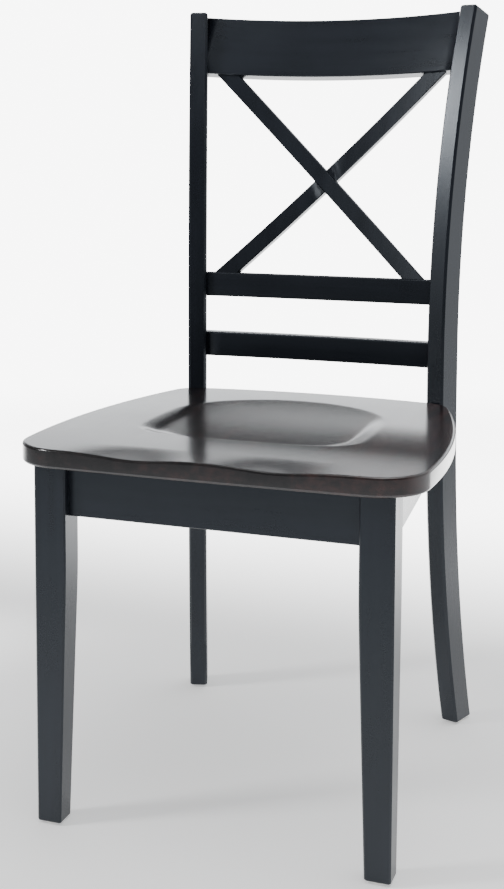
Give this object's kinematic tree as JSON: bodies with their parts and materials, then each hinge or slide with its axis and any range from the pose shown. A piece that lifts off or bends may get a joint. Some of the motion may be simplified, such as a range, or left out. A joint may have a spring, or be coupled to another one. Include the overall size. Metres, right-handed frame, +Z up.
{
  "type": "dining chair",
  "caption": "Cross back dining chair: scooped solid wood seat, square tapered front legs, and sabre-curved back posts that carry bowed rails and crossed bars.",
  "frame": {"origin": "middle of the floor footprint: under the centre of the chair's overall box, on the floor plane", "axes": "+Z up, -Y the way the chair faces, +X the chair's right-hand side as seen from the front"},
  "size_m": [0.49, 0.5768, 0.99],
  "materials": {
    "frame_paint": "hardwood under a satin charcoal black paint",
    "seat_wood": "semi-gloss dark espresso stain and lacquer",
    "block_wood": "bare sawn hardwood",
    "dowel_wood": "bare turned beech",
    "screw_steel": "zinc plated",
    "nail_steel": "bright",
    "glide_nylon": "natural nylon"
  },
  "bodies": {
    "root": {"back_apron": "frame_paint", "back_apron_dowels": "dowel_wood", "corner_block_front_left": "block_wood", "corner_block_front_right": "block_wood", "corner_block_rear_left": "block_wood", "corner_block_rear_right": "block_wood", "corner_block_screws": "screw_steel", "crest_rail": "frame_paint", "cross_bar_dowels": "dowel_wood", "cross_bar_front": "frame_paint", "cross_bar_rear": "frame_paint", "floor_glides": "glide_nylon", "front_apron": "frame_paint", "front_apron_dowels": "dowel_wood", "front_leg_left": "frame_paint", "front_leg_right": "frame_paint", "glide_nails": "nail_steel", "lower_back_rail": "frame_paint", "rear_post_left": "frame_paint", "rear_post_right": "frame_paint", "seat": "seat_wood", "seat_screws": "screw_steel", "side_apron_dowels": "dowel_wood", "side_apron_left": "frame_paint", "side_apron_right": "frame_paint", "upper_back_rail": "frame_paint"}
  },
  "joints": []
}
